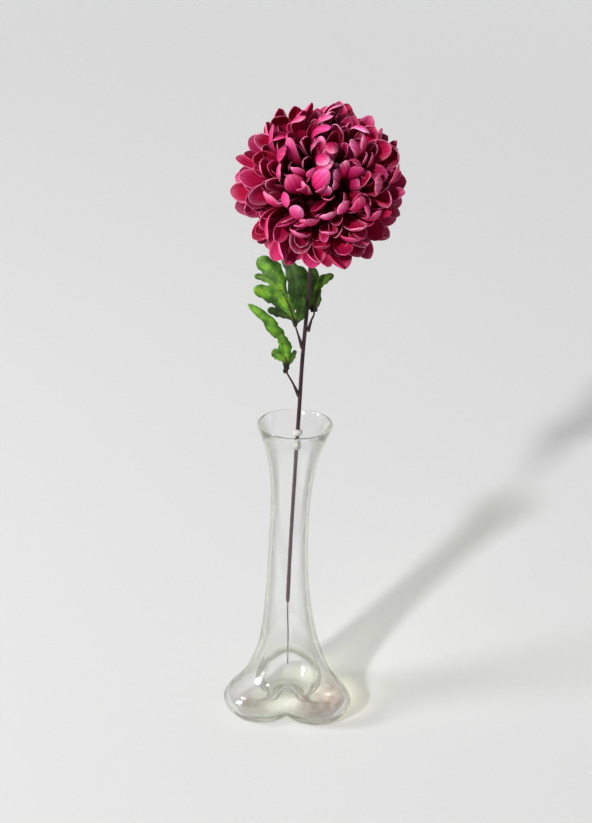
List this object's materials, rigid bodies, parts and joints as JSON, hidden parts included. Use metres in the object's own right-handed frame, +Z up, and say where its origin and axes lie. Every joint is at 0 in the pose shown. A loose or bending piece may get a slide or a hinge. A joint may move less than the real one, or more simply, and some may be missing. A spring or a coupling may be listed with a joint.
{
  "type": "fabric ball chrysanthemum stem in clear glass bud vase",
  "caption": "Ball-shaped fabric flower with hooded petals and lobed leaves on a wire stem, in a clear glass bud vase.",
  "frame": {"origin": "middle of the vase's flat foot, on the plane it stands on", "axes": "+Z up, along the vase's axis and the stem; -Y towards the viewer of the picture, the way the bloom nods; +X to the viewer's right"},
  "size_m": [0.1013, 0.1124, 0.4074],
  "materials": {
    "clear_glass": "clear, hand-blown, polished",
    "steel_wire": "bare drawn wire, dull",
    "brown_coating": "dark brown moulded coating, slightly glossy",
    "green_fabric": "stiffened leaf fabric, matt",
    "magenta_fabric": "heat-formed petal fabric, pale edges"
  },
  "bodies": {
    "root": {"vase": "clear_glass", "wire": "steel_wire", "stem": "brown_coating", "petiole_low": "brown_coating", "petiole_left": "brown_coating", "petiole_back": "brown_coating", "leaf_low": "green_fabric", "leaf_left": "green_fabric", "leaf_back": "green_fabric", "calyx": "green_fabric", "bloom": "magenta_fabric"}
  },
  "joints": []
}
